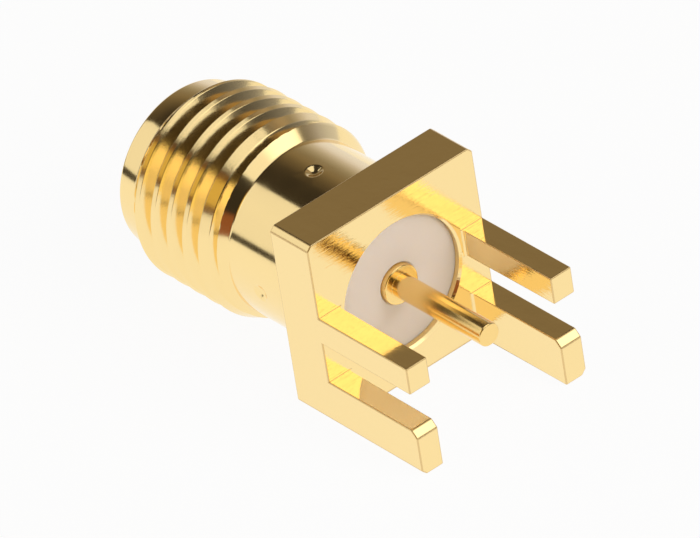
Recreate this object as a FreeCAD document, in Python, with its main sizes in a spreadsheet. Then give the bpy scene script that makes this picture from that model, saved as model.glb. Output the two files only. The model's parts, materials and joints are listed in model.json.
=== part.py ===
"""Edge-launch coaxial jack: a threaded brass body with board legs, its insulator and its centre contact.

Frame: X runs along the connector's axis, from the mating mouth towards the board. The origin is where
the axis crosses the flange face that butts against the board's edge. Z is up, square to the board.
All sizes are in millimetres.
"""
import FreeCAD, Part
import Sketcher

import os

SIZES = [
    ("flange_side", 6.3, "side of the square flange"),
    ("flange_thickness", 1.65, "flange thickness along the axis"),
    ("bar_chamfer", 0.16, "chamfer along the corners of the square bar"),
    ("leg_reach", 3.83, "length of the four board legs"),
    ("leg_width", 0.78, "width of each leg across the board"),
    ("upper_leg_top", 0.64, "height of the upper legs' top above the axis"),
    ("upper_leg_depth", 0.9, "thickness of the upper legs"),
    ("board_slot", 1.36, "gap between the upper and the lower legs, for the board"),
    ("leg_end_chamfer", 0.22, "chamfer on the upper end edge of each lower leg"),
    ("leg_root_fillet", 0.1, "fillet between each leg's inner side and the flange"),
    ("neck_diameter", 5.46, "plain neck between flange and thread"),
    ("neck_length", 2.9, "length of the plain neck"),
    ("thread_diameter", 6.24, "crest diameter of the coupling thread"),
    ("thread_pitch", 0.7056, "one thirty-sixth of an inch"),
    ("thread_depth", 0.38, "radial depth of the thread groove"),
    ("thread_crest", 0.2, "flat left on each thread crest"),
    ("thread_flank_angle", 30.0, "slope of each thread flank, in degrees"),
    ("thread_zone", 4.28, "length of the threaded barrel, with both its end chamfers"),
    ("thread_offset", 0.17, "from the thread zone's front to the first groove, on top of the barrel"),
    ("lip_diameter", 5.34, "plain pilot lip at the mouth"),
    ("lip_length", 0.71, "length of the pilot lip"),
    ("mouth_chamfer", 0.08, "broken edges of the mouth"),
    ("mouth_diameter", 4.6, "bore that takes the mating plug's ferrule"),
    ("mouth_depth", 1.9, "depth of the reference plane behind the mouth"),
    ("spigot_diameter", 4.12, "narrow bore behind the reference plane, and the insulator's spigot in it"),
    ("spigot_length", 1.1, "length of the narrow bore"),
    ("bead_diameter", 4.33, "bore of the body and outside of the insulator"),
    ("bead_recess", 0.23, "insulator face below the flange face"),
    ("stake_station", 3.2, "from the flange face to the stake marks on the neck"),
    ("stake_diameter", 0.56, "width of each stake mark"),
    ("stake_depth", 0.12, "depth of each stake mark"),
    ("stake_turn", 3.5, "turn of the stake marks about the axis, in degrees"),
    ("contact_diameter", 1.27, "contact inside the insulator"),
    ("contact_proud", 0.155, "contact shoulder above the insulator's face"),
    ("socket_diameter", 0.93, "hole for the mating pin"),
    ("socket_depth", 2.9, "depth of the mating hole"),
    ("finger_slot", 0.16, "width of the cuts between the spring fingers"),
    ("finger_length", 2.1, "length of the spring fingers"),
    ("finger_room", 0.08, "gap in which the spring fingers open"),
    ("contact_setback", 0.1, "contact end behind the insulator's front face"),
    ("pin_diameter", 0.74, "solder pin"),
    ("pin_reach", 3.74, "end of the solder pin beyond the flange face"),
    ("pin_chamfer", 0.05, "broken edges of the contact"),
    ("cut_over", 0.2, "how far cutting shapes run past what they cut"),
]

STAKE_COUNT = 4

# Stations along the axis and radii, as expressions on the sizes.
FLANGE_FRONT = "-sizes.flange_thickness"
NECK_FRONT = "-(sizes.flange_thickness + sizes.neck_length)"
THREAD_FRONT = "-(sizes.flange_thickness + sizes.neck_length + sizes.thread_zone)"
MOUTH = "-(sizes.flange_thickness + sizes.neck_length + sizes.thread_zone + sizes.lip_length)"
REFERENCE_PLANE = MOUTH + " + sizes.mouth_depth"
BEAD_FRONT = REFERENCE_PLANE + " + sizes.spigot_length"
BEAD_REAR = "-sizes.bead_recess"
CONTACT_FRONT = REFERENCE_PLANE + " + sizes.contact_setback"
CONTACT_SHOULDER = BEAD_REAR + " + sizes.contact_proud"
FINGER_ROOT = CONTACT_FRONT + " + sizes.finger_length"

LIP_R = "sizes.lip_diameter / 2"
THREAD_R = "sizes.thread_diameter / 2"
NECK_R = "sizes.neck_diameter / 2"
MOUTH_R = "sizes.mouth_diameter / 2"
SPIGOT_R = "sizes.spigot_diameter / 2"
BEAD_R = "sizes.bead_diameter / 2"
CONTACT_R = "sizes.contact_diameter / 2"
SOCKET_R = "sizes.socket_diameter / 2"
PIN_R = "sizes.pin_diameter / 2"
HALF_SIDE = "sizes.flange_side / 2"

doc = FreeCAD.newDocument("edge_launch_jack")
sheet = doc.addObject("Spreadsheet::Sheet", "sizes")
for row, (alias, value, meaning) in enumerate(SIZES, start=1):
    sheet.set(f"A{row}", alias)
    sheet.set(f"B{row}", str(value))
    sheet.set(f"C{row}", meaning)
    sheet.setAlias(f"B{row}", alias)
doc.recompute()


def value_of(expression):
    """Present value of an expression on the sizes."""
    return float(sheet.evalExpression(expression.replace("sizes.", "")))


def new_body(name):
    body = doc.addObject("PartDesign::Body", name)
    body.Label = name
    body.Placement = FreeCAD.Placement()
    return body


def new_sketch(body, name, role):
    """Empty sketch on one of the body's own origin planes."""
    sketch = body.newObject("Sketcher::SketchObject", name)
    plane = [item for item in body.Origin.OriginFeatures if item.Role == role][0]
    sketch.AttachmentSupport = [(plane, "")]
    sketch.MapMode = "FlatFace"
    return sketch


def draw_outline(sketch, corners):
    """Closed outline of straight lines; each corner is a pair of expressions."""
    places = [FreeCAD.Vector(value_of(across), value_of(up), 0) for across, up in corners]
    first = sketch.GeometryCount
    for index, place in enumerate(places):
        sketch.addGeometry(Part.LineSegment(place, places[(index + 1) % len(places)]))
    for index, (across, up) in enumerate(corners):
        line = first + index
        after = first + (index + 1) % len(corners)
        sketch.addConstraint(Sketcher.Constraint("Coincident", line, 2, after, 1))
        bind_start(sketch, line, "DistanceX", places[index].x, across)
        bind_start(sketch, line, "DistanceY", places[index].y, up)


def bind_start(sketch, line, kind, distance, expression):
    """Hold the start of a line at its distance from the origin, as the sizes give it."""
    number = sketch.addConstraint(Sketcher.Constraint(kind, -1, 1, line, 1, distance))
    if "sizes." in expression:
        sketch.setExpression(f"Constraints[{number}]", expression)


def turned(body, kind, name, corners):
    """Revolution or groove of a half section about the connector's axis."""
    sketch = new_sketch(body, name + "_section", "XZ_Plane")
    draw_outline(sketch, corners)
    feature = body.newObject(kind, name)
    feature.Profile = sketch
    feature.ReferenceAxis = (sketch, ["H_Axis"])
    feature.Angle = 360
    doc.recompute()
    return feature


def milled(body, name, corners, reach, past_flange=None):
    """Pad along the axis from the flange face, and to the front of it where past_flange is given."""
    sketch = new_sketch(body, name + "_outline", "YZ_Plane")
    draw_outline(sketch, corners)
    feature = body.newObject("PartDesign::Pad", name)
    feature.Profile = sketch
    feature.setExpression("Length", reach)
    if past_flange:
        feature.SideType = "Two sides"
        feature.setExpression("Length2", past_flange)
    doc.recompute()
    return feature


def cut_between_legs(body, name, corners):
    """Pocket from the flange face outwards, through the full reach of the legs."""
    before = body.Shape.Volume
    sketch = new_sketch(body, name + "_outline", "YZ_Plane")
    draw_outline(sketch, corners)
    feature = body.newObject("PartDesign::Pocket", name)
    feature.Profile = sketch
    feature.Reversed = True
    feature.setExpression("Length", "sizes.leg_reach + sizes.cut_over")
    doc.recompute()
    if feature.Shape.Volume > before - 1e-6:
        raise RuntimeError(name + " cuts nothing")
    return feature


def rectangle(left, bottom, right, top):
    return [(left, bottom), (right, bottom), (right, top), (left, top)]


def edges_where(shape, test):
    """Names of the straight edges whose middle and direction pass the test."""
    names = []
    for number, edge in enumerate(shape.Edges, start=1):
        if edge.Curve.TypeId == "Part::GeomLine":
            middle = edge.valueAt((edge.FirstParameter + edge.LastParameter) / 2)
            along = (edge.Vertexes[-1].Point - edge.Vertexes[0].Point).normalize()
            if test(middle, along):
                names.append(f"Edge{number}")
    return names


def dress_edges(body, kind, name, size_name, expression, test, expected):
    """Fillet or chamfer on the edges that pass the test."""
    base = body.Tip
    names = edges_where(base.Shape, test)
    if len(names) != expected:
        raise RuntimeError(f"{name}: {len(names)} edges found, {expected} expected")
    feature = body.newObject(kind, name)
    feature.Base = (base, names)
    feature.setExpression(size_name, expression)
    doc.recompute()
    return feature


def build_connector_body():
    """Square bar milled into flange and legs, with the barrel turned in front of it."""
    body = new_body("connector_body")
    near = 1e-4
    half = value_of(HALF_SIDE)

    square = rectangle("-" + HALF_SIDE, "-" + HALF_SIDE, HALF_SIDE, HALF_SIDE)
    milled(body, "bar", square, "sizes.leg_reach", "sizes.flange_thickness")
    dress_edges(body, "PartDesign::Chamfer", "bar_corners", "Size", "sizes.bar_chamfer",
                lambda middle, along: abs(abs(along.x) - 1) < near, 4)

    inner = HALF_SIDE + " - sizes.leg_width"
    over = HALF_SIDE + " + sizes.cut_over"
    slot_top = "sizes.upper_leg_top - sizes.upper_leg_depth"
    slot_bottom = slot_top + " - sizes.board_slot"
    cut_between_legs(body, "channel", rectangle("-(" + inner + ")", "-(" + over + ")", inner, over))
    cut_between_legs(body, "top_step", rectangle("-(" + over + ")", "sizes.upper_leg_top", over, over))
    cut_between_legs(body, "slot", rectangle("-(" + over + ")", slot_bottom, over, slot_top))

    leg_end = value_of("sizes.leg_reach")
    lower_top = value_of(slot_bottom)
    leg_inside = value_of(inner)
    dress_edges(body, "PartDesign::Chamfer", "leg_lead", "Size", "sizes.leg_end_chamfer",
                lambda middle, along: abs(abs(along.y) - 1) < near and abs(middle.x - leg_end) < near
                and abs(middle.z - lower_top) < near, 2)
    dress_edges(body, "PartDesign::Fillet", "leg_roots", "Radius", "sizes.leg_root_fillet",
                lambda middle, along: abs(abs(along.z) - 1) < near and abs(middle.x) < near
                and abs(abs(middle.y) - leg_inside) < near, 4)

    turned(body, "PartDesign::Revolution", "barrel", [
        (MOUTH, "0"),
        (MOUTH, LIP_R + " - sizes.mouth_chamfer"),
        (MOUTH + " + sizes.mouth_chamfer", LIP_R),
        (THREAD_FRONT, LIP_R),
        (THREAD_FRONT + " + " + THREAD_R + " - " + LIP_R, THREAD_R),
        (NECK_FRONT + " - (" + THREAD_R + " - " + NECK_R + ")", THREAD_R),
        (NECK_FRONT, NECK_R),
        (FLANGE_FRONT + " / 2", NECK_R),
        (FLANGE_FRONT + " / 2", "0"),
    ])
    cut_thread(body)
    cut_stakes(body)
    turned(body, "PartDesign::Groove", "bore", [
        (MOUTH + " - sizes.cut_over", "0"),
        (MOUTH + " - sizes.cut_over", MOUTH_R + " + sizes.mouth_chamfer + sizes.cut_over"),
        (MOUTH + " + sizes.mouth_chamfer", MOUTH_R),
        (REFERENCE_PLANE, MOUTH_R),
        (REFERENCE_PLANE, SPIGOT_R),
        (BEAD_FRONT, SPIGOT_R),
        (BEAD_FRONT, BEAD_R),
        ("sizes.cut_over", BEAD_R),
        ("sizes.cut_over", "0"),
    ])
    return body


def cut_thread(body):
    """Right-hand helical groove with sloped flanks and a flat root; it runs out over both chamfers."""
    slope = "tan(sizes.thread_flank_angle * 1 deg)"
    half_top = "(sizes.thread_pitch - sizes.thread_crest) / 2"
    centre = THREAD_FRONT + " + sizes.thread_offset - sizes.thread_pitch"
    wide = half_top + " + sizes.cut_over * " + slope
    narrow = half_top + " - sizes.thread_depth * " + slope
    outside = THREAD_R + " + sizes.cut_over"
    root = THREAD_R + " - sizes.thread_depth"
    sketch = new_sketch(body, "thread_section", "XZ_Plane")
    draw_outline(sketch, [
        (centre + " - (" + wide + ")", outside),
        (centre + " - (" + narrow + ")", root),
        (centre + " + (" + narrow + ")", root),
        (centre + " + (" + wide + ")", outside),
    ])
    helix = body.newObject("PartDesign::SubtractiveHelix", "thread")
    helix.Profile = sketch
    helix.ReferenceAxis = (sketch, ["H_Axis"])
    helix.Mode = "pitch-height-angle"
    helix.setExpression("Pitch", "sizes.thread_pitch")
    helix.setExpression("Height", "sizes.thread_zone + 2 * sizes.thread_pitch")
    helix.LeftHanded = False
    doc.recompute()
    return helix


def cut_stakes(body):
    """Conical stake marks around the neck, which hold the insulator."""
    station = "-sizes.stake_station"
    sketch = new_sketch(body, "stake_section", "XZ_Plane")
    any_turn = FreeCAD.Rotation(FreeCAD.Vector(1, 0, 0), 1)
    sketch.AttachmentOffset = FreeCAD.Placement(FreeCAD.Vector(), any_turn)
    sketch.setExpression("AttachmentOffset.Rotation.Angle", "sizes.stake_turn * 1 deg")
    slope_out = "sizes.stake_diameter / 2 * (1 + sizes.cut_over / sizes.stake_depth)"
    draw_outline(sketch, [
        (station, NECK_R + " - sizes.stake_depth"),
        (station + " + " + slope_out, NECK_R + " + sizes.cut_over"),
        (station, NECK_R + " + sizes.cut_over"),
    ])
    mark = body.newObject("PartDesign::Groove", "stake_mark")
    mark.Profile = sketch
    mark.ReferenceAxis = (sketch, ["Edge3"])
    mark.Angle = 360
    doc.recompute()
    marks = body.newObject("PartDesign::PolarPattern", "stake_marks")
    marks.Originals = [mark]
    axis = [item for item in body.Origin.OriginFeatures if item.Role == "X_Axis"][0]
    marks.Axis = (axis, [""])
    marks.Angle = 360
    marks.Occurrences = STAKE_COUNT
    body.Tip = marks
    doc.recompute()
    return marks


def build_insulator():
    """Bead between body and contact, with a spigot in front, opened out around the spring fingers."""
    body = new_body("insulator")
    turned(body, "PartDesign::Revolution", "bead", [
        (REFERENCE_PLANE, CONTACT_R + " + sizes.finger_room"),
        (REFERENCE_PLANE, SPIGOT_R),
        (BEAD_FRONT, SPIGOT_R),
        (BEAD_FRONT, BEAD_R),
        (BEAD_REAR, BEAD_R),
        (BEAD_REAR, CONTACT_R),
        (FINGER_ROOT, CONTACT_R),
        (FINGER_ROOT, CONTACT_R + " + sizes.finger_room"),
    ])
    return body


def build_centre_contact():
    """Turned contact: slotted socket at the mouth, solder pin at the board."""
    body = new_body("centre_contact")
    turned(body, "PartDesign::Revolution", "turning", [
        (CONTACT_FRONT, SOCKET_R),
        (CONTACT_FRONT, CONTACT_R + " - sizes.pin_chamfer"),
        (CONTACT_FRONT + " + sizes.pin_chamfer", CONTACT_R),
        (CONTACT_SHOULDER + " - sizes.pin_chamfer", CONTACT_R),
        (CONTACT_SHOULDER, CONTACT_R + " - sizes.pin_chamfer"),
        (CONTACT_SHOULDER, PIN_R),
        ("sizes.pin_reach - sizes.pin_chamfer", PIN_R),
        ("sizes.pin_reach", PIN_R + " - sizes.pin_chamfer"),
        ("sizes.pin_reach", "0"),
        (CONTACT_FRONT + " + sizes.socket_depth + " + SOCKET_R, "0"),
        (CONTACT_FRONT + " + sizes.socket_depth", SOCKET_R),
    ])
    across = CONTACT_R + " + sizes.cut_over"
    for name, role in (("upright_slot", "XZ_Plane"), ("level_slot", "XY_Plane")):
        sketch = new_sketch(body, name + "_outline", role)
        front = CONTACT_FRONT + " - sizes.cut_over"
        draw_outline(sketch, rectangle(front, "-(" + across + ")", FINGER_ROOT, across))
        slot = body.newObject("PartDesign::Pocket", name)
        slot.Profile = sketch
        slot.Midplane = True
        slot.setExpression("Length", "sizes.finger_slot")
        doc.recompute()
    return body


def check_and_write(bodies):
    """Every object sound, every shape one valid solid; then one file for each sub-part."""
    doc.recompute()
    for item in doc.Objects:
        if "Invalid" in item.State or "Error" in item.State:
            raise RuntimeError(f"{item.Name} failed: {item.State}")
    for body in bodies:
        if body.Shape.isNull() or not body.Shape.isValid():
            raise RuntimeError(body.Label + " has no valid shape")
    os.makedirs("parts", exist_ok=True)
    for body in bodies:
        body.Shape.exportStep(f"parts/{body.Label}.step")
        print(body.Label, "solids", len(body.Shape.Solids), "volume", round(body.Shape.Volume, 3))


check_and_write([build_connector_body(), build_insulator(), build_centre_contact()])
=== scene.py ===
import json
import math

import bmesh
import bpy
import numpy as np
from mathutils import Matrix, Vector


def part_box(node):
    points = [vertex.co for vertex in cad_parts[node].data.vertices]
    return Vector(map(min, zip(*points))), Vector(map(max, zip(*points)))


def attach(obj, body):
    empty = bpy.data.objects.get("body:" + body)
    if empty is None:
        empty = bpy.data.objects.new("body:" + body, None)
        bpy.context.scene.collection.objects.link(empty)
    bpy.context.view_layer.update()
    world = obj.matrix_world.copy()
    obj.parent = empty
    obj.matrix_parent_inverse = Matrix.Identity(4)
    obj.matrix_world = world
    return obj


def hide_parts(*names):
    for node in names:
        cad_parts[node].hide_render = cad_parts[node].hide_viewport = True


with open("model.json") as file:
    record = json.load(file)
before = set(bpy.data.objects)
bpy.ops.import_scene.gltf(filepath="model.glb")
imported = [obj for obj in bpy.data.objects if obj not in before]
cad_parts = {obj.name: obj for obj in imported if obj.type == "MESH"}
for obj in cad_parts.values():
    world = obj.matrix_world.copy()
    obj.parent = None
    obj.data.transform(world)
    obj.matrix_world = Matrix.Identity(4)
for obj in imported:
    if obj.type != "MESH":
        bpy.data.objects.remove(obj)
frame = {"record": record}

bl_info = {
    "name": "Edge launch jack",
    "version": (1, 0, 0),
    "blender": (4, 5, 0),
    "location": "3D View > Sidebar > Jack",
    "description": "Gold-plated coaxial jack for the edge of a board, built around its packed solids",
    "category": "Add Mesh",
}

MM = 0.001

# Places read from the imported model, in metres. X runs from the mouth towards the board, Z is up.
BODY_LOW, BODY_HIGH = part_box("connector_body")
BEAD_LOW, BEAD_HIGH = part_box("insulator")
CONTACT_LOW, CONTACT_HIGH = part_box("centre_contact")
MOUNTS = {mount["name"]: mount for mount in frame["record"]["mounts"]}

STEPS_ROUND = 240
STAKE_COUNT = 4
FINGER_COUNT = 4
WELD_DISTANCE = 1e-8
# A place within the tolerance of a face counts as on it, and an edge is sharp from this turn in degrees.
TOLERANCE = 0.001 * MM
SHARP_TURN = 40

# Colours of the pale backdrop from low to high, as places on its ramp and linear colours.
BACKDROP = (
    (0.03, (0.77, 0.81, 1.0)), (0.14, (0.70, 0.72, 0.92)), (0.24, (0.54, 0.53, 0.61)),
    (0.34, (0.38, 0.36, 0.36)), (0.42, (0.27, 0.25, 0.22)), (0.51, (0.2, 0.17, 0.13)),
    (0.58, (0.182, 0.144, 0.093)), (0.64, (0.115, 0.09, 0.056)), (0.69, (0.067, 0.05, 0.03)),
    (0.74, (0.0, 0.0, 0.0)),
)

# Parts of the room that the gold mirrors: azimuth and elevation of the middle, reach and softness, all in
# degrees, and a linear colour.
ROOM_PATCHES = (
    ((-73, 39), 13, 2, (0.5, 0.4, 0.1)),
    ((-73, 39), 19, 6, (0.15, 0.05, 0.0)),
    ((-45, 5), 10, 3, (0.24, 0.07, 0.02)),
    ((-14, -1), 14, 3, (1.0, 0.76, 0.24)),
    ((89, 46), 10, 6, (0.16, 0.13, 0.11)),
    ((37, 38), 14, 8, (0.57, 0.57, 0.55)),
    ((-119, 38), 12, 7, (0.34, 0.34, 0.2)),
)

# Soft boxes: a name, azimuth and elevation in degrees of the side that the box faces the jack from, its
# offset sideways and up in its own plane, its width and height, and its brightness as seen. Offsets,
# widths and heights are shares of the lamps' distance in metres.
LAMP_DISTANCE = 0.6
SOFT_BOXES = (
    ("side_box", (-120, 0), (-0.3, 0.665), (1.44, 1.23), 0.87),
    ("low_box", (-80, 0), (0.0, 0.13), (0.62, 0.4), 0.9),
    ("top_box", (25, 45), (-0.04, 0.22), (1.12, 0.88), 0.93),
    ("upper_box", (25, 45), (-0.22, 0.82), (1.04, 0.32), 0.93),
    ("lower_box", (25, 45), (-0.175, -0.54), (0.51, 0.64), 0.93),
)
FILL_BOX = ("fill_box", (5, 22), (0.0, 0.0), (1.0, 1.0), 1.8)


def linear(hex_colour):
    """Linear RGBA from an sRGB hex colour."""
    channels = np.array([int(hex_colour[i:i + 2], 16) for i in (0, 2, 4)]) / 255
    low = channels / 12.92
    high = ((channels + 0.055) / 1.055) ** 2.4
    return (*np.where(channels <= 0.04045, low, high).tolist(), 1.0)


def length(name, description, millimetres):
    """Length property that is given in millimetres and kept in metres."""
    return bpy.props.FloatProperty(name=name, description=description, default=millimetres * MM,
                                   min=0.0, precision=6, unit="LENGTH")


def angle(name, description, degrees):
    """Angle property that is given in degrees and kept in radians."""
    return bpy.props.FloatProperty(name=name, description=description, default=math.radians(degrees),
                                   subtype="ANGLE")


def colour(name, description, hex_colour):
    """Colour property from an sRGB hex value."""
    return bpy.props.FloatVectorProperty(name=name, description=description, size=4, min=0.0, max=1.0,
                                         default=linear(hex_colour), subtype="COLOR")


def factor(name, description, value):
    """Plain number from zero to one."""
    return bpy.props.FloatProperty(name=name, description=description, default=value, min=0.0, max=1.0)


class JackBodySizes(bpy.types.PropertyGroup):
    """Sizes of the one-piece body"""
    flange_thickness: length("Flange thickness", "Thickness of the square flange", 1.65)
    bar_chamfer: length("Bar chamfer", "Chamfer along the corners of the square bar", 0.16)
    leg_width: length("Leg width", "Width of each leg across the board", 0.78)
    upper_leg_top: length("Upper leg top", "Height of the upper legs' top above the axis", 0.64)
    upper_leg_depth: length("Upper leg depth", "Thickness of the upper legs", 0.9)
    board_slot: length("Board slot", "Gap between the upper and the lower legs", 1.36)
    leg_end_chamfer: length("Leg end chamfer", "Chamfer on the upper end edge of the lower legs", 0.22)
    bore_chamfer: length("Bore chamfer", "Broken edge of the bore at the board face", 0.07)
    leg_root_fillet: length("Leg root fillet", "Fillet between the legs' inner sides and the flange", 0.1)
    broken_edge: length("Broken edge", "Rounding left on the milled edges", 0.04)
    neck_diameter: length("Neck diameter", "Plain neck between flange and thread", 5.46)
    neck_length: length("Neck length", "Length of the plain neck", 2.9)
    thread_pitch: length("Thread pitch", "One thirty-sixth of an inch", 0.7056)
    thread_depth: length("Thread depth", "Radial depth of the thread", 0.44)
    thread_crest: length("Thread crest", "Crest width before its slope takes some of the flank", 0.082)
    thread_zone: length("Thread zone", "Length of the threaded barrel", 4.28)
    thread_offset: length("Thread offset", "From the zone's front to the first groove on top", 0.093)
    thread_flank: angle("Thread flank", "Slope of each flank", 30.5)
    crest_slope: angle("Crest slope", "Slope of the crest towards the board", 27.0)
    late_shift: length("Late shift", "How far the last turn of the groove lies behind its place", 0.09)
    late_narrowing: length("Late narrowing", "How much nearer its middle the last turn's walls lie", 0.04)
    run_out: length("Run-out", "Length over which the last turn of the groove fades away", 0.45)
    lip_diameter: length("Lip diameter", "Plain pilot lip at the mouth", 5.34)
    mouth_chamfer: length("Mouth chamfer", "Broken edges of the mouth", 0.08)
    spigot_diameter: length("Spigot diameter", "Narrow bore behind the reference plane", 4.12)
    spigot_length: length("Spigot length", "Length of the narrow bore", 1.1)
    stake_station: length("Stake station", "From the flange face to the stake marks", 3.2)
    stake_diameter: length("Stake diameter", "Width of each stake mark", 0.56)
    stake_depth: length("Stake depth", "Depth of each stake mark", 0.12)
    stake_turn: angle("Stake turn", "Turn of the stake marks about the axis", 3.5)


class JackInsideSizes(bpy.types.PropertyGroup):
    """Sizes of the insulator and the contact"""
    bead_edge: length("Bead edge", "Broken edge of the insulator around the contact", 0.045)
    finger_room: length("Finger room", "Gap in which the spring fingers open", 0.08)
    finger_length: length("Finger length", "Length of the spring fingers", 2.1)
    finger_slot: length("Finger slot", "Width of the cuts between the fingers", 0.16)
    contact_proud: length("Contact proud", "Contact shoulder above the insulator's face", 0.155)
    contact_edge: length("Contact edge", "Broken edges of the contact", 0.05)


class JackFinish(bpy.types.PropertyGroup):
    """Colours and roughnesses"""
    gold: colour("Gold", "Hard gold plating over brass", "FEE2A2")
    # The edge gold is browner than the body's gold as painted shade, for the thin dark lines along the
    # rounded edges.
    edge_gold_with_painted_shade: colour("Edge gold", "Gold on the broken edges, browner as painted shade", "E8C88C")
    # The contact's deeper yellow is painted reflection of the shaded gold bore around it.
    contact_gold_with_painted_reflection: colour("Contact gold", "Hard gold plating over beryllium copper", "FEDA8E")
    bead: colour("Insulator", "Milky fluoropolymer", "E3D6CA")
    floor: colour("Floor", "Matt white table", "F9F9F9")
    turned_roughness: factor("Turned roughness", "Roughness of the turned gold", 0.11)
    milled_roughness: factor("Milled roughness", "Roughness of the milled gold", 0.06)
    thread_roughness: factor("Thread roughness", "Roughness of the gold on the thread", 0.15)
    edge_roughness: factor("Edge roughness", "Roughness of the gold on the broken edges", 0.34)
    contact_roughness: factor("Contact roughness", "Roughness of the contact's gold", 0.21)


def sizes():
    """Sizes of the body, as set in the scene."""
    return bpy.context.scene.jack_body


def inside_sizes():
    """Sizes of the insulator and the contact, as set in the scene."""
    return bpy.context.scene.jack_inside


def finish_values():
    """Colours and roughnesses, as set in the scene."""
    return bpy.context.scene.jack_finish


# Node helpers and materials.

def add_node(tree, kind, settings=None, **inputs):
    """Node of one kind with its settings; an input is a plain value or another node's output."""
    node = tree.nodes.new(kind)
    for name, value in (settings or {}).items():
        setattr(node, name, value)
    for name, value in inputs.items():
        key = int(name[1:]) if name[0] == "_" else name.replace("_", " ")
        socket = node.inputs[key]
        if isinstance(value, bpy.types.NodeSocket):
            tree.links.new(value, socket)
        else:
            socket.default_value = value
    return node


def new_material(name):
    """Empty node material; returns it with its tree."""
    material = bpy.data.materials.new(name)
    material.use_nodes = True
    material.node_tree.nodes.clear()
    return material, material.node_tree


def plated_gold(name, base, roughness, line_scale, line_height):
    """Bright hard gold over machined brass.

    The cutter leaves fine lines under the plating, which bend its reflections a little, and the gloss
    varies in faint cloudy patches. line_scale stretches the pattern along the lines.
    """
    material, tree = new_material(name)
    place = add_node(tree, "ShaderNodeTexCoord").outputs["Object"]
    along = add_node(tree, "ShaderNodeMapping", Vector=place, Scale=line_scale).outputs["Vector"]
    lines = add_node(tree, "ShaderNodeTexNoise", Vector=along, Scale=1.0, Detail=3.0, Roughness=0.6)
    clouds = add_node(tree, "ShaderNodeTexNoise", Vector=place, Scale=1 / (0.9 * MM), Detail=2.0)
    gloss = add_node(tree, "ShaderNodeMapRange", Value=clouds.outputs["Fac"], From_Min=0.3, From_Max=0.7,
                     To_Min=roughness - 0.02, To_Max=roughness + 0.03)
    bump = add_node(tree, "ShaderNodeBump", Strength=1.0, Distance=line_height,
                    Height=lines.outputs["Fac"])
    shader = add_node(tree, "ShaderNodeBsdfPrincipled", Base_Color=base, Metallic=1.0,
                      Roughness=gloss.outputs["Result"], Normal=bump.outputs["Normal"])
    add_node(tree, "ShaderNodeOutputMaterial", Surface=shader.outputs["BSDF"])
    return material


def turned_gold():
    """Gold over turned brass: the lines run round the axis, about 0.03 mm apart."""
    finish = finish_values()
    step = 1 / (0.03 * MM)
    return plated_gold("gold_over_turned_brass", finish.gold, finish.turned_roughness,
                       (step, step / 40, step / 40), 0.00004 * MM)


def milled_gold():
    """Gold over milled brass: the cutter's lines run across the board, about 0.07 mm apart."""
    finish = finish_values()
    step = 1 / (0.07 * MM)
    return plated_gold("gold_over_milled_brass", finish.gold, finish.milled_roughness,
                       (step / 14, step / 10, step), 0.0042 * MM)


def thread_gold():
    """Gold over the cut thread: softer than the turned parts, with small uneven patches."""
    finish = finish_values()
    step = 1 / (0.12 * MM)
    return plated_gold("gold_over_cut_thread", finish.gold, finish.thread_roughness,
                       (step, step, step), 0.0014 * MM)


def edge_gold_with_painted_shade():
    """Gold on the broken edges: browner and duller than the faces beside them. The browner colour is
    painted shade that draws thin dark lines along the edges.
    """
    finish = finish_values()
    step = 1 / (0.2 * MM)
    return plated_gold("gold_with_painted_edge_shade", finish.edge_gold_with_painted_shade, finish.edge_roughness,
                       (step, step, step), 0.001 * MM)


def contact_gold_with_painted_reflection():
    """Gold over turned beryllium copper, a deeper yellow than the body. The deeper yellow is painted
    reflection of the shaded gold bore around the contact.
    """
    finish = finish_values()
    step = 1 / (0.04 * MM)
    return plated_gold("gold_over_beryllium_copper_with_painted_reflection", finish.contact_gold_with_painted_reflection, finish.contact_roughness,
                       (step, step / 30, step / 30), 0.00004 * MM)


def milky_bead():
    """Turned fluoropolymer: milky, slightly translucent, with a soft sheen and a faint mottle."""
    finish = finish_values()
    material, tree = new_material("milky_ptfe")
    place = add_node(tree, "ShaderNodeTexCoord").outputs["Object"]
    mottle = add_node(tree, "ShaderNodeTexNoise", Vector=place, Scale=1 / (0.5 * MM), Detail=2.0)
    bump = add_node(tree, "ShaderNodeBump", Strength=0.3, Distance=0.001 * MM, Height=mottle.outputs["Fac"])
    shader = add_node(tree, "ShaderNodeBsdfPrincipled", Base_Color=finish.bead, Roughness=0.4, IOR=1.35,
                      Subsurface_Weight=0.5, Subsurface_Radius=(1.0, 0.8, 0.6), Subsurface_Scale=0.4 * MM,
                      Normal=bump.outputs["Normal"])
    add_node(tree, "ShaderNodeOutputMaterial", Surface=shader.outputs["BSDF"])
    return material


# Mesh helpers. A part of a mesh is a pair: an array of points and a list of faces on them.

def ring_grid(points, closed=False, climb=0):
    """Quads over a grid of points, rows by columns; columns run round and always close.

    On a helix the last column meets the first one some rows on, and climb is that number of rows.
    """
    rows, columns = points.shape[:2]
    row = np.arange(rows if closed else rows - 1)[:, None]
    column = np.arange(columns)[None, :]
    after_row = (row + 1) % rows
    after_column = (column + 1) % columns
    lift = np.where(after_column == 0, climb, 0)
    far_row = np.minimum(row + lift, rows - 1)
    far_after = np.minimum(after_row + lift, rows - 1)
    corners = [row * columns + column, far_row * columns + after_column,
               far_after * columns + after_column, after_row * columns + column]
    quads = np.stack(np.broadcast_arrays(*corners), axis=-1).reshape(-1, 4)
    return points.reshape(-1, 3), quads


def round_points(stations, radii, angles):
    """Points at x = station, y = radius times cosine and z = radius times sine of the angle."""
    return np.stack(np.broadcast_arrays(stations, radii * np.cos(angles), radii * np.sin(angles)), axis=-1)


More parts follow.
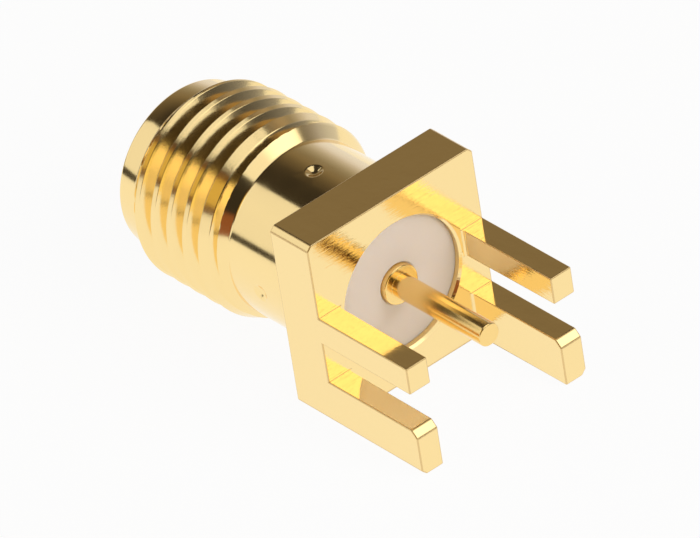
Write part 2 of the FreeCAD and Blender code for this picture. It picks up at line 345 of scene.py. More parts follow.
def arc(centre, radius, start, end, steps):
    """Points of an arc in a plane: centre plus radius times cosine and sine, angles in degrees."""
    turn = np.radians(np.linspace(start, end, steps + 1))
    return np.stack([centre[0] + radius * np.cos(turn), centre[1] + radius * np.sin(turn)], axis=-1)


def polygon(points):
    """One flat face on its own points."""
    points = np.asarray(points, dtype=float)
    return points, [list(range(len(points)))]


def welded_mesh(name, parts):
    """One closed mesh from parts that share edges, with its normals turned outwards."""
    points = np.concatenate([part[0] for part in parts])
    starts = np.cumsum([0] + [len(part[0]) for part in parts[:-1]])
    faces = [[start + int(corner) for corner in face]
             for start, part in zip(starts.tolist(), parts)
             for face in (part[1].tolist() if isinstance(part[1], np.ndarray) else part[1])]
    mesh = bpy.data.meshes.new(name)
    mesh.from_pydata(points.tolist(), [], faces)
    work = bmesh.new()
    work.from_mesh(mesh)
    bmesh.ops.remove_doubles(work, verts=work.verts, dist=WELD_DISTANCE)
    bmesh.ops.recalc_face_normals(work, faces=work.faces)
    open_edges = sum(1 for edge in work.edges if len(edge.link_faces) != 2)
    if open_edges:
        raise RuntimeError(f"{name}: {open_edges} edges aren't closed")
    work.to_mesh(mesh)
    work.free()
    mesh.shade_smooth()
    return mesh


def read(collection, name, width=3, kind=float):
    """Array of one attribute over a mesh's vertices, edges, loops or faces."""
    values = np.empty(len(collection) * width, dtype=kind)
    collection.foreach_get(name, values)
    return values.reshape(-1, width) if width > 1 else values


def edge_turns(mesh):
    """For each edge: angle between its faces in degrees, whether it stands out, and its middle."""
    totals = read(mesh.polygons, "loop_total", 1, int)
    starts = read(mesh.polygons, "loop_start", 1, int)
    face = np.repeat(np.arange(len(totals)), totals)
    normals = read(mesh.polygons, "normal")[face]
    places = read(mesh.vertices, "co")
    corner = read(mesh.loops, "vertex_index", 1, int)
    following = np.arange(len(corner)) + 1
    following[starts + totals - 1] = starts
    along = places[corner[following]] - places[corner]
    pairs = np.argsort(read(mesh.loops, "edge_index", 1, int), kind="stable").reshape(-1, 2)
    first, second = pairs.T
    cosine = np.einsum("ij,ij->i", normals[first], normals[second])
    inwards = np.cross(normals[first], along[first])
    stands_out = np.einsum("ij,ij->i", inwards, normals[second]) < 0
    middle = (places[corner[first]] + places[corner[following[first]]]) / 2
    return np.degrees(np.arccos(np.clip(cosine, -1, 1))), stands_out, middle


def add_piece(name, mesh, materials, node):
    """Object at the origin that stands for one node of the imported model."""
    piece = bpy.data.objects.new(name, mesh)
    bpy.context.scene.collection.objects.link(piece)
    for material in materials:
        mesh.materials.append(material)
    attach(piece, "root")
    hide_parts(node)
    return piece


# The body: a turned barrel with its thread, and the milled block behind it.

def softer_low(first, second, reach):
    """Lower of two heights, with the corner between them rounded over the reach."""
    share = np.clip(reach - np.abs(first - second), 0, None) / reach
    return np.minimum(first, second) - share ** 2 * reach / 4


def softer_high(first, second, reach):
    """Higher of two heights, with the corner between them rounded over the reach."""
    return -softer_low(-first, -second, reach)


def thread_edge():
    """Station of the first crest's front edge where the turn about the axis is nothing."""
    size = sizes()
    thread_front = -(size.flange_thickness + size.neck_length + size.thread_zone)
    half_groove = (size.thread_pitch - size.thread_crest) / 2
    return thread_front + size.thread_offset + half_groove - size.thread_pitch / 4


def barrel_radius(x, turn):
    """Radius of lip, thread and neck at a station and an angle about the axis.

    The plain outline is the lowest of three heights: the crest, the lip with its lead chamfer and
    the neck with its shoulder. The groove is a valley whose centre moves one pitch with each turn;
    its walls rise by the distance from that centre over the tangent of the flank angle. The crest
    falls away evenly behind its front edge. Near the neck the groove lies a little behind its place,
    gets narrower and then shallower.
    """
    size = sizes()
    neck_front = -(size.flange_thickness + size.neck_length)
    thread_front = neck_front - size.thread_zone
    lip = size.lip_diameter / 2
    neck = size.neck_diameter / 2
    soft_edge = 0.03 * MM
    crest_edge = 0.008 * MM
    root_edge = 0.05 * MM
    pitch = size.thread_pitch
    first_edge = thread_edge() + pitch * turn / (2 * math.pi)
    behind = np.mod(x - first_edge, pitch)
    next_crest = 0.7 * pitch
    behind = np.where(behind > next_crest, behind - pitch, behind)
    full = MOUNTS["coupling_thread"]["dims"]["r_mm"] * MM
    crest = full - behind * math.tan(size.crest_slope)
    front = softer_high(lip, lip + x - thread_front, soft_edge)
    rear = softer_high(neck, neck + neck_front - x, soft_edge)
    outline = softer_low(softer_low(crest, front, soft_edge), rear, soft_edge)

    steep = 1 / math.tan(size.thread_flank)
    half_top = (pitch - size.thread_crest) / 2
    first_groove = first_edge - half_top
    root = full - size.thread_depth
    fade_start = neck_front - size.run_out
    shift_start = fade_start - 0.5 * MM
    shift_reach = 0.3 * MM
    for step in (-1, 0, 1):
        groove = first_groove + (np.round((x - first_groove) / pitch) + step) * pitch
        late = np.clip((groove - shift_start) / shift_reach, 0, 1)
        distance = np.abs(x - groove - late * size.late_shift)
        root_half = half_top - size.thread_depth / steep - late * size.late_narrowing
        walls = softer_high(root, root + (distance - root_half) * steep, root_edge)
        fade = np.clip((groove - fade_start) / size.run_out, 0, None)
        outline = softer_low(outline, walls + fade * size.thread_depth, crest_edge)
    return outline


def thread_rows():
    """Places of the grid's rows behind a crest's front edge, closer together at the corners.

    The first list goes over that edge and the crest, the second over its rear edge and down the
    flank, the third into the root and the fourth up to the next crest.
    """
    return np.concatenate([
        [-0.008, -0.0034, -0.0014, 0.0006, 0.0034, 0.008, 0.045, 0.093, 0.106],
        [0.1115, 0.115, 0.119, 0.1235, 0.13, 0.148, 0.188, 0.24],
        [0.3, 0.315, 0.33, 0.345, 0.362, 0.385],
        [0.41, 0.426, 0.441, 0.457, 0.477, 0.545, 0.63],
    ]) * MM


def helix_part(front, rear, turns):
    """Thread between two stations, as a grid whose rows follow the helix to keep its edges crisp.

    A row's station moves one pitch with each turn and is held between the two ends, where the
    surplus corners weld into one ring.
    """
    size = sizes()
    rows = thread_rows()
    pitch = size.thread_pitch
    laps = np.arange(math.floor((front - thread_edge()) / pitch) - 2,
                     math.ceil((rear - thread_edge()) / pitch) + 1)
    stations = (thread_edge() + laps[:, None] * pitch + rows).ravel()
    x = np.clip(stations[:, None] + pitch * turns / (2 * math.pi), front, rear)
    points, quads = ring_grid(round_points(x, barrel_radius(x, turns[None, :]), turns), climb=len(rows))
    corner_x = points[quads, 0]
    keep = (corner_x.max(axis=1) > front) & (corner_x.min(axis=1) < rear)
    return points, quads[keep]


def lip_profile():
    """Stations and radii from the lip's plain end round the rim and down the bores to the board face."""
    size = sizes()
    mouth = BODY_LOW.x
    lip = size.lip_diameter / 2
    edge = size.mouth_chamfer
    mouth_bore = MOUNTS["mating_mouth"]["dims"]["r_mm"] * MM
    spigot = size.spigot_diameter / 2
    bead = BEAD_HIGH.y
    reference_plane = BEAD_LOW.x
    bead_front = reference_plane + size.spigot_length
    rim = arc((mouth + edge, lip - edge), edge, 90, 180, 6)
    inner_rim = arc((mouth + edge, mouth_bore + edge), edge, 180, 270, 6)
    bores = [
        (reference_plane, mouth_bore),
        (reference_plane, spigot),
        (bead_front, spigot),
        (bead_front, bead),
        (-size.bore_chamfer, bead),
        (0.0, bead + size.bore_chamfer),
    ]
    return np.concatenate([rim, inner_rim, bores])


def stake_patch(turn, first_column, columns, stations):
    """Stake mark as rings between its centre and a window in the neck's grid.

    A point lies at a distance and a direction from the centre. Its depth rises evenly inwards from the
    rim, as in a cone, and levels off softly at the mark's full depth.
    """
    size = sizes()
    neck = size.neck_diameter / 2
    centre_x = -size.stake_station
    rows = len(stations)
    step = 2 * math.pi / STEPS_ROUND
    column = np.concatenate([np.arange(columns), np.full(rows - 1, columns),
                             np.arange(columns, 0, -1), np.zeros(rows - 1)])
    row = np.concatenate([np.zeros(columns), np.arange(rows - 1),
                          np.full(columns, rows - 1), np.arange(rows - 1, 0, -1)]).astype(int)
    edge_x = stations[row] - centre_x
    edge_turn = (first_column + column) * step - turn
    heading = np.arctan2(edge_turn * neck, edge_x)
    radius = size.stake_diameter / 2
    shares = np.arange(13) / 10
    wall_rise, floor_softness = 1.35, 0.3
    rise = np.clip(1 - shares, 0, None) * wall_rise
    depths = size.stake_depth * softer_low(1.0, rise, floor_softness)
    rings_x = shares[:, None] * radius * np.cos(heading)
    rings_turn = shares[:, None] * radius * np.sin(heading) / neck
    x = np.concatenate([rings_x, edge_x[None]]) + centre_x
    angles = np.concatenate([rings_turn, edge_turn[None]]) + turn
    radii = neck - np.concatenate([depths, [0.0]])[:, None]
    return ring_grid(round_points(x, radii, angles))


def barrel_parts():
    """Outer surface of the barrel with its stake marks, the rim and the bores."""
    size = sizes()
    neck = size.neck_diameter / 2
    neck_front = -(size.flange_thickness + size.neck_length)
    thread_front = neck_front - size.thread_zone
    turns = np.arange(STEPS_ROUND) * 2 * math.pi / STEPS_ROUND
    shoulder_rear = neck_front + 0.12 * MM
    run_out_front = neck_front - 0.85 * MM
    lead_rear = thread_front + 0.46 * MM
    margin = 0.06 * MM
    shoulder_rows, lead_rows = 84, 36

    # The stake marks sit in windows of the neck's grid.
    window_rows, columns = 9, 13
    window_middle = -size.stake_station
    window_reach = 0.42 * MM
    window = np.linspace(window_middle - window_reach, window_middle + window_reach, window_rows)
    neck_rows = np.concatenate([[-size.flange_thickness], window[::-1], [shoulder_rear]])
    neck_grid = round_points(neck_rows[:, None], neck, turns)
    points, quads = ring_grid(neck_grid)
    keep = np.ones((len(neck_rows) - 1, STEPS_ROUND), dtype=bool)
    patches = []
    for mark in range(STAKE_COUNT):
        turn = math.radians(90) + size.stake_turn + mark * 2 * math.pi / STAKE_COUNT
        first_column = round(turn / (2 * math.pi) * STEPS_ROUND - columns / 2)
        picked = (first_column + np.arange(columns)) % STEPS_ROUND
        keep[1:window_rows, picked] = False
        patches.append(stake_patch(turn, first_column, columns, window[::-1]))
    neck_part = (points, quads[keep.ravel()])

    shoulder = np.linspace(neck_front + margin, run_out_front, shoulder_rows)[:, None]
    lead = np.linspace(lead_rear, thread_front - margin, lead_rows)[:, None]
    shoulder_grid = round_points(shoulder, barrel_radius(shoulder, turns[None, :]), turns)
    lead_grid = round_points(lead, barrel_radius(lead, turns[None, :]), turns)
    shoulder_grid = np.concatenate([neck_grid[-1:], shoulder_grid])
    profile = lip_profile()
    rest = round_points(profile[:, :1], profile[:, 1:], turns)
    lip_grid = np.concatenate([lead_grid, rest])
    return [neck_part, ring_grid(shoulder_grid), helix_part(lead_rear, run_out_front, turns),
            ring_grid(lip_grid)] + patches


def circle_part(x, radius, first, last):
    """Points of a circle about the axis between two angles in degrees, on the barrel's columns."""
    step = 360 / STEPS_ROUND
    turn = np.radians(np.arange(round(first / step), round(last / step) + 1) * step)
    return round_points(x, radius, turn)


def block_parts():
    """Flat faces of the flange and its legs; each face is a polygon on the corners it shares."""
    size = sizes()
    half = BODY_HIGH.z
    reach = BODY_HIGH.x
    front = -size.flange_thickness
    corner = half - size.bar_chamfer
    inner = half - size.leg_width
    fillet = size.leg_root_fillet
    root = inner - fillet
    upper_top = size.upper_leg_top
    upper_low = upper_top - size.upper_leg_depth
    lower_top = upper_low - size.board_slot
    lead = size.leg_end_chamfer
    bore = BEAD_HIGH.y + size.bore_chamfer
    neck = size.neck_diameter / 2
    curve = arc((fillet, root), fillet, 180, 90, 4)

    def level(outline, z, side):
        """Outline at one height, on one side of the axis."""
        return [(x, side * y, z) for x, y in outline]

    faces = []
    for side in (1, -1):
        for top, low, end in ((upper_top, upper_low, reach), (lower_top, -half, reach - lead)):
            outline = [(0, half), (end, half), (end, inner), *curve[::-1].tolist()]
            faces.append(level(outline, top, side))
            for (x1, y1), (x2, y2) in zip(curve[:-1], curve[1:]):
                faces.append([(x1, side * y1, low), (x2, side * y2, low), (x2, side * y2, top),
                              (x1, side * y1, top)])
        outline = [(0, half), (reach, half), (reach, inner), *curve[::-1].tolist()]
        faces.append(level(outline, upper_low, side))
        across = [(reach, inner, upper_low), (reach, half, upper_low), (reach, half, upper_top),
                  (reach, inner, upper_top)]
        inside = [(fillet, inner, upper_low), (reach, inner, upper_low), (reach, inner, upper_top),
                  (fillet, inner, upper_top)]
        slope = [(reach - lead, inner, lower_top), (reach - lead, half, lower_top),
                 (reach, half, lower_top - lead), (reach, inner, lower_top - lead)]
        lower_end = [(reach, inner, -half), (reach, corner, -half), (reach, half, -corner),
                     (reach, half, lower_top - lead), (reach, inner, lower_top - lead)]
        lower_inside = [(fillet, inner, -half), (reach, inner, -half), (reach, inner, lower_top - lead),
                        (reach - lead, inner, lower_top), (fillet, inner, lower_top)]
        outside = [(front, half, -corner), (reach, half, -corner), (reach, half, lower_top - lead),
                   (reach - lead, half, lower_top), (0, half, lower_top), (0, half, upper_low),
                   (reach, half, upper_low), (reach, half, upper_top), (0, half, upper_top),
                   (0, half, corner), (front, half, corner)]
        low_chamfer = [(front, half, -corner), (reach, half, -corner), (reach, corner, -half),
                       (front, corner, -half)]
        top_chamfer = [(front, half, corner), (0, half, corner), (0, corner, half), (front, corner, half)]
        above_legs = [(0, root, upper_top), (0, half, upper_top), (0, half, corner), (0, corner, half),
                      (0, root, half)]
        between_legs = [(0, root, lower_top), (0, half, lower_top), (0, half, upper_low),
                        (0, root, upper_low)]
        front_top = [(front, corner, half), (front, half, corner)]
        front_low = [(front, corner, -half), (front, half, -corner)]
        for face in (across, inside, slope, lower_end, lower_inside, outside, low_chamfer, top_chamfer,
                     above_legs, between_legs):
            faces.append([(x, side * y, z) for x, y, z in face])
        for pair, turn in ((front_top, 45), (front_low, -45)):
            tip = circle_part(front, neck, turn, turn)[0]
            faces.append([(x, side * y, z) for x, y, z in [*pair, tuple(tip)]])
        sides = circle_part(0, bore, -45, 45).tolist()
        border = [(0, root, half), (0, root, upper_top), (0, root, upper_low), (0, root, lower_top),
                  (0, root, -half)]
        faces.append([(x, side * y, z) for x, y, z in [*sides, *border]])
        sides = circle_part(front, neck, -45, 45).tolist()
        border = [(front, half, corner), (front, half, -corner)]
        faces.append([(x, side * y, z) for x, y, z in [*sides, *border]])
        around = circle_part(0, bore, 45, 135).tolist()
        border = [(0, -root, half), (0, root, half)]
        faces.append([(x, y, side * z) for x, y, z in [*around, *border]])
        around = circle_part(front, neck, 45, 135).tolist()
        border = [(front, -corner, half), (front, corner, half)]
        faces.append([(x, y, side * z) for x, y, z in [*around, *border]])

    faces.append([(front, -corner, half), (front, corner, half), (0, corner, half), (0, root, half),
                  (0, -root, half), (0, -corner, half)])
    right = [(reach, corner), (reach, inner), *curve[::-1].tolist()]
    outline = [(front, -corner), (front, corner), *right, *[(x, -y) for x, y in reversed(right)]]
    faces.append(level(outline, -half, 1))
    return [polygon(face) for face in faces]


def build_body():
    """Weld barrel and block, give each its finish and round the milled edges."""
    size = sizes()
    mesh = welded_mesh("jack_body", barrel_parts() + block_parts())
    turns, stands_out, middle = edge_turns(mesh)
    place = middle[:, 0]
    bore = np.hypot(middle[:, 1], middle[:, 2]) < BEAD_HIGH.y + 1.01 * size.bore_chamfer
    sharp = turns > SHARP_TURN
    milled = (place > -size.flange_thickness - TOLERANCE) & (place < TOLERANCE)
    legs = place > size.leg_root_fillet
    broken = sharp & stands_out & (milled | legs) & ~bore
    # The inner corners between legs and board face get a finer rounding than the outer edges.
    corners = sharp & ~stands_out & (np.abs(place) < TOLERANCE)
    corner_share = 0.35
    weights = mesh.attributes.new("bevel_weight_edge", "FLOAT", "EDGE")
    weights.data.foreach_set("value", (broken + corner_share * corners).astype(np.float32))
    hard = mesh.attributes.new("sharp_edge", "BOOLEAN", "EDGE")
    hard.data.foreach_set("value", sharp & ~broken & ~corners)

    finishes = [milled_gold(), turned_gold(), thread_gold(), edge_gold_with_painted_shade()]
    piece = add_piece("jack_body", mesh, finishes, "connector_body")
    centres = read(mesh.polygons, "center")
    place = centres[:, 0]
    neck_front = -(size.flange_thickness + size.neck_length)
    thread_rear = neck_front - 0.4 * MM
    turned = place < -size.flange_thickness - TOLERANCE
    outer = np.hypot(centres[:, 1], centres[:, 2]) > size.lip_diameter / 2 - 0.05 * MM
    threaded = outer & (place < thread_rear) & (place > neck_front - size.thread_zone)
    mesh.polygons.foreach_set("material_index", turned.astype(np.int32) + threaded)
    rounding = piece.modifiers.new("broken_edges", "BEVEL")
    rounding.width = size.broken_edge
    rounding.segments = 3
    rounding.limit_method = "WEIGHT"
    rounding.use_clamp_overlap = False
    rounding.harden_normals = True
    # The rounded edges take the browner gold, a painted shade along them.
    rounding.material = len(finishes) - 1


class JACK_OT_connector_body(bpy.types.Operator):
    """Build the one-piece body: lip, thread, neck, flange and legs"""
    bl_idname = "jack.connector_body"
    bl_label = "Connector body"

    def execute(self, context):
        build_body()
        return {"FINISHED"}


# The insulator and the contact.

def smooth_corners(profile, reach):
    """Add a point before and after each corner of a closed outline, so that its flats stay flat."""
    before = np.roll(profile, 1, axis=0) - profile
    after = np.roll(profile, -1, axis=0) - profile
    length_before = np.linalg.norm(before, axis=1, keepdims=True)
    length_after = np.linalg.norm(after, axis=1, keepdims=True)
    near = profile + before / length_before * np.minimum(reach, length_before / 3)
    far = profile + after / length_after * np.minimum(reach, length_after / 3)
    middle = (near + 2 * profile + far) / 4
    return np.stack([near, middle, far], axis=1).reshape(-1, 2)


def build_insulator():
    """Closed outline turned about the axis: the bead, its spigot and the hole for the contact."""
    size = inside_sizes()
    contact = CONTACT_HIGH.y
    room = contact + size.finger_room
    finger_root = CONTACT_LOW.x + size.finger_length
    spigot = sizes().spigot_diameter / 2
    bead_front = BEAD_LOW.x + sizes().spigot_length
    outline = np.array([
        (BEAD_LOW.x, room),
        (BEAD_LOW.x, spigot),
        (bead_front, spigot),
        (bead_front, BEAD_HIGH.y),
        (BEAD_HIGH.x, BEAD_HIGH.y),
        (BEAD_HIGH.x, contact + size.bead_edge),
        (BEAD_HIGH.x - size.bead_edge, contact),
        (finger_root, contact),
        (finger_root, room),
    ])
    outline = smooth_corners(outline, 0.015 * MM)
    turns = np.radians(np.arange(0, 360, 2))
    points = round_points(outline[:, :1], outline[:, 1:], turns)
    mesh = welded_mesh("jack_insulator", [ring_grid(points, closed=True)])
    add_piece("jack_insulator", mesh, [milky_bead()], "insulator")


class JACK_OT_insulator(bpy.types.Operator):
    """Build the insulator: a bead turned about the axis, with a spigot in front"""
    bl_idname = "jack.insulator"
    bl_label = "Insulator"

    def execute(self, context):
        build_insulator()
        return {"FINISHED"}


def finger_angles(radius):
    """Angles about the axis: each finger's arc, evenly stepped, and one step across each cut.

    The cut's sides are flat and parallel, so at a radius a finger starts at the angle whose sine is
    half the cut over that radius.
    """
    steps = 24
    start = np.arcsin(inside_sizes().finger_slot / 2 / radius)
    quarter = 2 * math.pi / FINGER_COUNT
    share = np.linspace(0, 1, steps)
    return np.concatenate([finger * quarter + start + share * (quarter - 2 * start)
                           for finger in range(FINGER_COUNT)], axis=-1)


def build_contact():
    """Closed outline turned about the axis, with the four cuts left out of its front end."""
    size = inside_sizes()
    outer = CONTACT_HIGH.y
    socket = MOUNTS["contact_socket"]["dims"]["r_mm"] * MM
    depth = MOUNTS["contact_socket"]["dims"]["length_mm"] * MM
    pin = MOUNTS["solder_pin"]["dims"]["r_mm"] * MM
    front = CONTACT_LOW.x
    root = front + size.finger_length
    shoulder = BEAD_HIGH.x + size.contact_proud
    end = CONTACT_HIGH.x
    edge = size.contact_edge
    soft = 0.012 * MM
    nose = arc((front + edge, outer - edge), edge, 180, 90, 4)
    outline = np.array([
        (front + depth + socket, 0.0),
        (front + depth, socket),
        (root, socket),
        (front + soft, socket),
        (front, socket + soft),
        *nose,
        (root, outer),
        (shoulder - edge - soft, outer),
        *arc((shoulder - edge, outer - edge), edge, 90, 0, 5),
        (shoulder, pin + 2 * soft),
        *arc((shoulder + soft, pin + soft), soft, 180, 270, 3),
        (shoulder + 3 * soft, pin),
        (end - edge - soft, pin),
        *arc((end - edge, pin - edge), edge, 90, 0, 5),
        (end, pin - edge - soft),
        (end, 0.0),
    ])
    inner_root = 2
    outer_root = 5 + len(nose)
    reach = np.clip(outline[:, 1], socket, outer)
    angles = np.stack([finger_angles(radius) for radius in reach])
    points = round_points(outline[:, :1], outline[:, 1:], angles)
    points, quads = ring_grid(points)
    columns = angles.shape[1]
    steps = columns // FINGER_COUNT
    cut_columns = np.arange(FINGER_COUNT) * steps + steps - 1
    keep = np.ones((len(outline) - 1, columns), dtype=bool)
    keep[inner_root:outer_root, cut_columns] = False
    rows = np.arange(inner_root, outer_root + 1)
    faces = quads[keep.ravel()].tolist()
    for column in cut_columns.tolist():
        after = (column + 1) % columns
        faces.append((rows * columns + column).tolist())
        faces.append((rows * columns + after).tolist())
        faces.append([inner_root * columns + column, inner_root * columns + after,
                      outer_root * columns + after, outer_root * columns + column])
    mesh = welded_mesh("jack_centre_contact", [(points, faces)])
    mesh.set_sharp_from_angle(angle=math.radians(50))
    add_piece("jack_centre_contact", mesh, [contact_gold_with_painted_reflection()], "centre_contact")


class JACK_OT_centre_contact(bpy.types.Operator):
    """Build the centre contact: spring fingers at the mouth, a solder pin at the board"""
    bl_idname = "jack.centre_contact"
    bl_label = "Centre contact"

    def execute(self, context):
        build_contact()
        return {"FINISHED"}


# The stage: floor, world, soft boxes and the camera.

def direction(azimuth, elevation):
    """Unit vector from degrees; azimuth runs from +X towards +Y."""
    flat = math.cos(math.radians(elevation))
    return Vector((flat * math.cos(math.radians(azimuth)), flat * math.sin(math.radians(azimuth)),
                   math.sin(math.radians(elevation))))


def soft_box(name, facing, place, size, strength):
    """Rectangular lamp; strength is its brightness as seen, so its power grows with its area."""
    width, height = (side * LAMP_DISTANCE for side in size)
    lamp = bpy.data.lights.new(name, "AREA")
    lamp.shape = "RECTANGLE"
    lamp.size = width
    lamp.size_y = height
    lamp.energy = strength * width * height * math.pi
    holder = bpy.data.objects.new(name, lamp)
    outward = direction(*facing)
    across = Vector((0, 0, 1)).cross(outward).normalized()
    upward = outward.cross(across)
    centre = (outward + across * place[0] + upward * place[1]) * LAMP_DISTANCE
    turn = Matrix((across, upward, outward)).transposed().to_4x4()
    holder.matrix_world = Matrix.Translation(centre) @ turn
    bpy.context.scene.collection.objects.link(holder)
    return holder


def build_floor():
    """Matt white table top that the camera and the metal see as nearly plain white.

    It is short along X, so that the gold mirrors the dim room beyond its ends.
    """
    half_length = 0.048
    half_width = 3.0
    glow_share = 0.94
    level = BODY_LOW.z - 0.0005 * MM
    corners = [(-half_length, -half_width, level), (half_length, -half_width, level),
               (half_length, half_width, level), (-half_length, half_width, level)]
    mesh = bpy.data.meshes.new("table_top")
    mesh.from_pydata(corners, [], [(0, 1, 2, 3)])
    material, tree = new_material("matt_white_paint")
    path = add_node(tree, "ShaderNodeLightPath").outputs
    seen = add_node(tree, "ShaderNodeMath", {"operation": "ADD"}, _0=path["Is Camera Ray"],
                    _1=path["Is Glossy Ray"]).outputs["Value"]
    seen = add_node(tree, "ShaderNodeMath", {"operation": "ADD"}, _0=seen,
                    _1=path["Is Transmission Ray"]).outputs["Value"]
    share = add_node(tree, "ShaderNodeMath", {"operation": "MULTIPLY"}, _0=seen,
                     _1=glow_share).outputs["Value"]
    paint = add_node(tree, "ShaderNodeBsdfDiffuse", Color=finish_values().floor)
    glow = add_node(tree, "ShaderNodeEmission", Color=(1, 1, 1, 1), Strength=1.0)
    mix = add_node(tree, "ShaderNodeMixShader", Fac=share)
    tree.links.new(paint.outputs["BSDF"], mix.inputs[1])
    tree.links.new(glow.outputs["Emission"], mix.inputs[2])
    add_node(tree, "ShaderNodeOutputMaterial", Surface=mix.outputs["Shader"])
    mesh.materials.append(material)
    floor = bpy.data.objects.new("table_top", mesh)
    bpy.context.scene.collection.objects.link(floor)


def room_patch(tree, towards, middle, reach, softness, shade):
    """Soft round patch of the room's wall: a background that glows around one direction."""
    near = add_node(tree, "ShaderNodeVectorMath", {"operation": "DOT_PRODUCT"}, _0=towards,
                    _1=direction(*middle)).outputs["Value"]
    share = add_node(tree, "ShaderNodeMapRange", {"interpolation_type": "SMOOTHSTEP"}, Value=near,
                     From_Min=math.cos(math.radians(reach + softness)),
                     From_Max=math.cos(math.radians(reach - softness))).outputs["Result"]
    return add_node(tree, "ShaderNodeBackground", Color=(*shade, 1), Strength=share).outputs[0]


def build_world():
    """Dim room with a pale backdrop on the side away from the camera, brightest at the floor.

    The backdrop's ramp is read at the height of a direction, less a little where it leans towards +X.
    The backdrop fades out towards +X and towards the camera's side.
    """
    world = bpy.data.worlds.new("studio")
    world.use_nodes = True
    tree = world.node_tree
    tree.nodes.clear()
    towards = add_node(tree, "ShaderNodeTexCoord").outputs["Generated"]
    axes = add_node(tree, "ShaderNodeSeparateXYZ", Vector=towards).outputs
    lean, drop = -0.15, 0.1
    height = add_node(tree, "ShaderNodeMath", {"operation": "MULTIPLY_ADD"}, _0=axes["X"], _1=lean,
                      _2=axes["Z"]).outputs["Value"]
    height = add_node(tree, "ShaderNodeMath", {"operation": "SUBTRACT"}, _0=height,
                      _1=drop).outputs["Value"]
    rise = add_node(tree, "ShaderNodeValToRGB", Fac=height)
    ramp = rise.color_ramp
    for index, (place, shade) in enumerate(BACKDROP):
        stop = ramp.elements[index] if index < 2 else ramp.elements.new(place)
        stop.position = place
        stop.color = (*shade, 1)
    side = add_node(tree, "ShaderNodeMapRange", {"interpolation_type": "SMOOTHSTEP"}, Value=axes["X"],
                    From_Min=0.9, From_Max=-0.2, To_Min=0.0, To_Max=1.0).outputs["Result"]
    back = add_node(tree, "ShaderNodeMapRange", {"interpolation_type": "SMOOTHSTEP"}, Value=axes["Y"],
                    From_Min=-0.3, From_Max=0.1, To_Min=0.0, To_Max=1.0).outputs["Result"]
    part = add_node(tree, "ShaderNodeMath", {"operation": "MULTIPLY"}, _0=side, _1=back).outputs["Value"]
    dim_wall = (0.036, 0.03, 0.024, 1)
    shades = [
        add_node(tree, "ShaderNodeBackground", Color=dim_wall, Strength=1.0).outputs[0],
        add_node(tree, "ShaderNodeBackground", Color=rise.outputs["Color"], Strength=part).outputs[0],
        *(room_patch(tree, towards, *patch) for patch in ROOM_PATCHES),
    ]
    total = shades[0]
    for shade in shades[1:]:
        total = add_node(tree, "ShaderNodeAddShader", _0=total, _1=shade).outputs[0]
    white = add_node(tree, "ShaderNodeBackground", Color=(1, 1, 1, 1), Strength=1.0).outputs[0]
    camera_ray = add_node(tree, "ShaderNodeLightPath").outputs["Is Camera Ray"]
    seen = add_node(tree, "ShaderNodeMixShader", _0=camera_ray, _1=total, _2=white)
    add_node(tree, "ShaderNodeOutputWorld", Surface=seen.outputs[0])
    bpy.context.scene.world = world


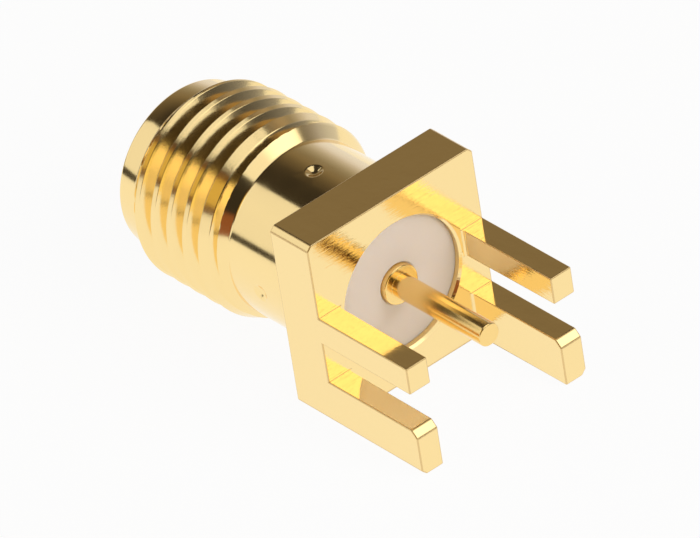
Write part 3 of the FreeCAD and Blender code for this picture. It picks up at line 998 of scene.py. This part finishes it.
def build_camera():
    """Camera at the photograph's place: its angles, distance and focal length fit the object's edges."""
    azimuth, elevation, roll = -35.647, 35.499, -9.238
    distance = 385.294 * MM
    focal_pixels = 13456.6
    image_width = 700
    shift_right, shift_up = -1.534 * MM, 0.486 * MM
    back = direction(azimuth, elevation)
    right = (-back).cross(Vector((0, 0, 1))).normalized()
    up = right.cross(-back)
    turn = math.radians(roll)
    across = right * math.cos(turn) + up * math.sin(turn)
    upward = up * math.cos(turn) - right * math.sin(turn)
    data = bpy.data.cameras.new("camera")
    data.sensor_fit = "HORIZONTAL"
    data.sensor_width = 36.0
    data.lens = focal_pixels / image_width * data.sensor_width
    data.clip_start = 0.01
    data.clip_end = 20.0
    camera = bpy.data.objects.new("camera", data)
    place = back * distance + across * shift_right + upward * shift_up
    camera.matrix_world = Matrix.Translation(place) @ Matrix((across, upward, back)).transposed().to_4x4()
    bpy.context.scene.collection.objects.link(camera)
    bpy.context.scene.camera = camera


class JACK_OT_stage(bpy.types.Operator):
    """Set up the floor, the studio light and the camera"""
    bl_idname = "jack.stage"
    bl_label = "Stage"

    def execute(self, context):
        build_floor()
        build_world()
        for box in SOFT_BOXES:
            soft_box(*box)
        # The fill brings the milky bead to its own colour. The bright metal doesn't mirror it.
        soft_box(*FILL_BOX).visible_glossy = False
        build_camera()
        context.scene.view_settings.view_transform = "Standard"
        return {"FINISHED"}


class JACK_PT_panel(bpy.types.Panel):
    """Steps and sizes of the jack"""
    bl_label = "Edge launch jack"
    bl_idname = "JACK_PT_panel"
    bl_space_type = "VIEW_3D"
    bl_region_type = "UI"
    bl_category = "Jack"

    def draw(self, context):
        for step in STEPS:
            self.layout.operator(step.bl_idname)
        for group in (context.scene.jack_body, context.scene.jack_inside, context.scene.jack_finish):
            for name in group.__annotations__:
                self.layout.prop(group, name)


STEPS = (JACK_OT_connector_body, JACK_OT_insulator, JACK_OT_centre_contact, JACK_OT_stage)
CLASSES = (JackBodySizes, JackInsideSizes, JackFinish, *STEPS, JACK_PT_panel)


def register():
    """Register the classes and the property groups."""
    for item in CLASSES:
        bpy.utils.register_class(item)
    bpy.types.Scene.jack_body = bpy.props.PointerProperty(type=JackBodySizes)
    bpy.types.Scene.jack_inside = bpy.props.PointerProperty(type=JackInsideSizes)
    bpy.types.Scene.jack_finish = bpy.props.PointerProperty(type=JackFinish)


def unregister():
    """Take the property groups and the classes out again."""
    del bpy.types.Scene.jack_body
    del bpy.types.Scene.jack_inside
    del bpy.types.Scene.jack_finish
    for item in reversed(CLASSES):
        bpy.utils.unregister_class(item)


def main():
    """Build the jack and its stage."""
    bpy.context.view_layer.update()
    register()
    bpy.ops.jack.connector_body()
    bpy.ops.jack.insulator()
    bpy.ops.jack.centre_contact()
    bpy.ops.jack.stage()


if __name__ == "__main__":
    main()
